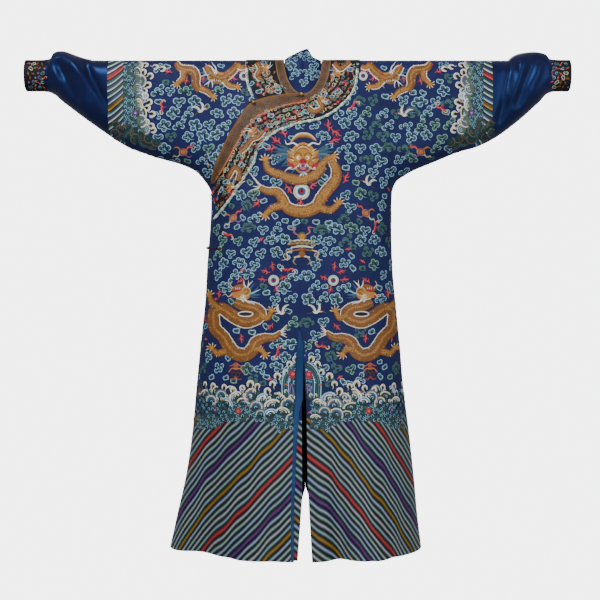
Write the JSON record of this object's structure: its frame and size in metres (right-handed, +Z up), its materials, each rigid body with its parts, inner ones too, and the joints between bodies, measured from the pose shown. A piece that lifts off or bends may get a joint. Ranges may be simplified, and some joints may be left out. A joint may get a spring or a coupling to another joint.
{
  "type": "dragon robe",
  "caption": "Long side-fastening silk robe filled out as if worn with arms held straight out, flared slit skirt, satin sleeves, narrow cuffs, banded collar and ball buttons",
  "frame": {"origin": "Middle of the straight shoulder line, where a wearer's shoulders carry the cloth", "axes": "+Z up, the front faces -Y, the wearer's left sleeve points to +X, metres"},
  "size_m": [1.517, 0.4002, 1.3831],
  "materials": {
    "back_left": "dark blue silk gauze woven and embroidered with clouds, dragons and waves",
    "back_right": "dark blue silk embroidered with clouds, dragons and waves",
    "front_left": "dark blue silk embroidered with clouds, dragons and waves",
    "front_right": "dark blue silk embroidered with clouds and a shoulder dragon",
    "front_overlap": "dark blue silk embroidered with clouds, dragons and waves",
    "underlap": "dark blue silk with clouds and slanting stripes",
    "slit_facing": "light steel-blue satin",
    "sleeve_left": "plain midnight-blue satin with soft folds",
    "sleeve_right": "plain midnight-blue satin with soft folds",
    "cuffs": "black silk with many-coloured embroidery",
    "trim": "brown and gold brocade",
    "collar_band": "black silk with gold dragons, clouds and a white-green scalloped edge",
    "buttons": "polished gilt metal",
    "cords": "brown-pink twisted silk cord"
  },
  "bodies": {
    "root": {"back_left": "back_left", "back_right": "back_right", "front_left": "front_left", "front_right": "front_right", "front_overlap": "front_overlap", "underlap": "underlap", "neck_flap": "underlap", "slit_facing": "slit_facing", "sleeve_left": "sleeve_left", "sleeve_right": "sleeve_right", "cuff_left": "cuffs", "cuff_right": "cuffs", "neck_trim": "trim", "lapel_trim": "trim", "collar_band": "collar_band", "button_neck": "buttons", "button_lapel": "buttons", "button_underarm": "buttons", "button_side": "buttons", "loop_neck": "cords", "loop_lapel": "cords", "cord_underarm": "cords", "loop_underarm": "cords", "loop_side": "cords"}
  },
  "joints": []
}
